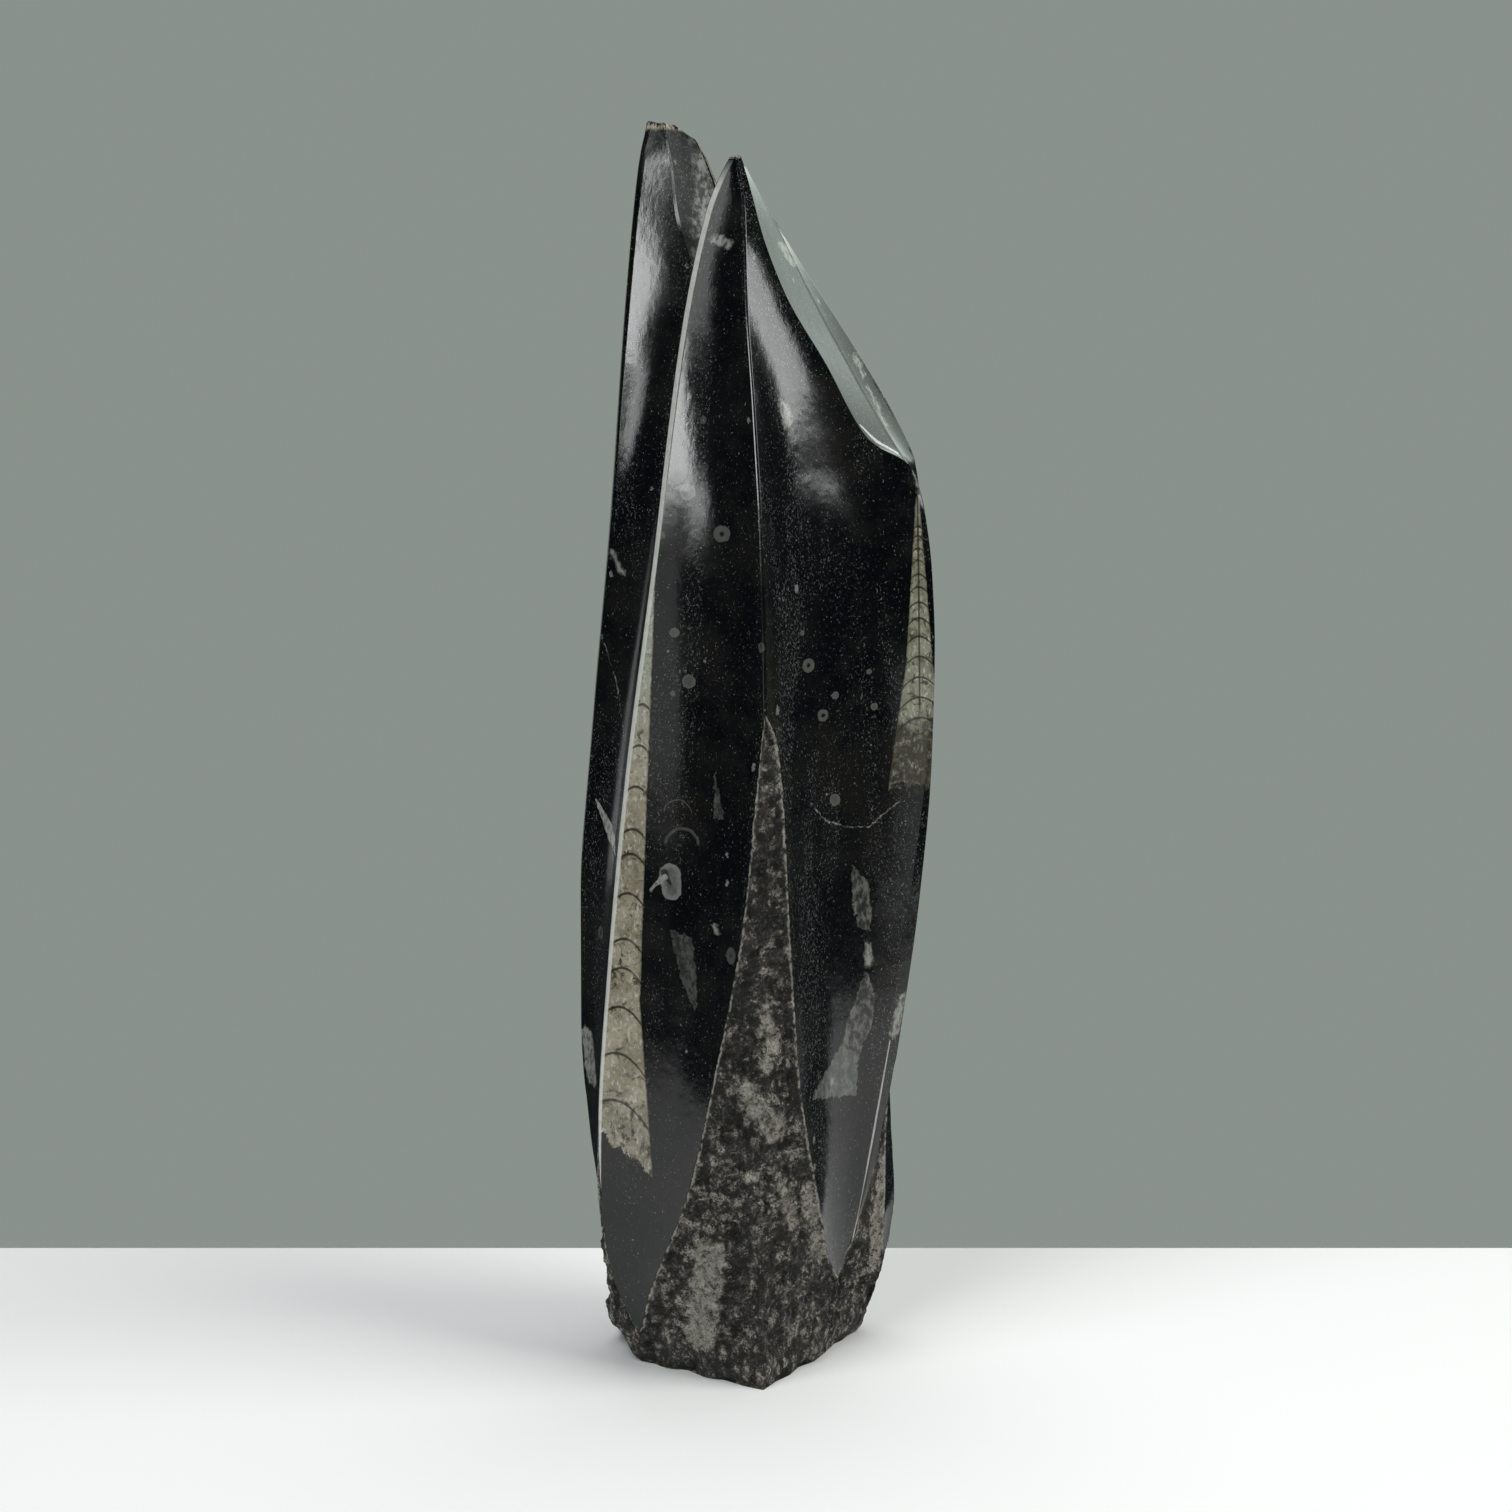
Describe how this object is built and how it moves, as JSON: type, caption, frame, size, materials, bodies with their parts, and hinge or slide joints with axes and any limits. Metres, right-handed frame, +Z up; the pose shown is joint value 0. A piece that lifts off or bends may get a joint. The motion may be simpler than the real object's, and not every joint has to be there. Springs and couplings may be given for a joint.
{
  "type": "carved orthoceras fossil limestone tower",
  "caption": "Free-standing flame-shaped tower of polished black fossil limestone, with hollow flutes, sharp ridges, rough lands at the foot and a flat sawn base to stand on.",
  "frame": {"origin": "on the flat sawn foot, under the middle of the stone", "axes": "+Z up along the tower, -Y towards the front ridge with the long rough land, +X to the right"},
  "size_m": [0.1156, 0.0982, 0.3999],
  "materials": {
    "polished_fossil_limestone": "polished"
  },
  "bodies": {
    "root": {"orthoceras_stone": "polished_fossil_limestone"}
  },
  "joints": []
}
